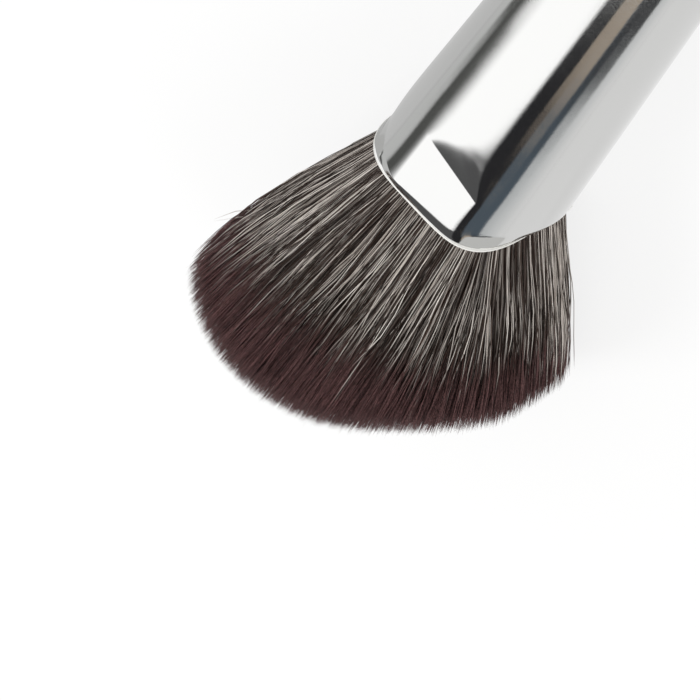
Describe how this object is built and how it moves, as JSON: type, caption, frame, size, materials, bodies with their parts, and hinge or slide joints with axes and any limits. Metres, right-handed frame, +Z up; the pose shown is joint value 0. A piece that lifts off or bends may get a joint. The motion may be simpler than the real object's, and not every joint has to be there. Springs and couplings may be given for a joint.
{
  "type": "angled blush brush",
  "caption": "Make-up brush with a slanted, flared tuft of tapered filaments in a polished pinched ferrule on a tapering black handle.",
  "frame": {"origin": "Centre of the underside of the box round the whole brush, on the table it lies on.", "axes": "+X runs from the hair to the butt of the handle, +Y to the side with the longer hair, +Z up out of one broad side. The brush lies on its ferrule's shoulder and its handle, so its own axis falls about one and a half degrees towards the butt."},
  "size_m": [0.1854, 0.036, 0.02],
  "materials": {
    "black_lacquered_wood": "gloss black lacquer",
    "polished_plated_metal": "mirror polished",
    "tapered_synthetic_filament": "fine dark brown filaments with pale roots",
    "cast_epoxy_resin": "amber, unseen",
    "waxed_cotton_thread": "waxed, unseen",
    "hardened_wood_glue": "hardened, unseen"
  },
  "bodies": {
    "root": {"handle": "black_lacquered_wood", "ferrule": "polished_plated_metal", "hair_tuft": "tapered_synthetic_filament", "epoxy_plug": "cast_epoxy_resin", "binding_thread": "waxed_cotton_thread", "handle_glue_sleeve": "hardened_wood_glue"}
  },
  "joints": []
}
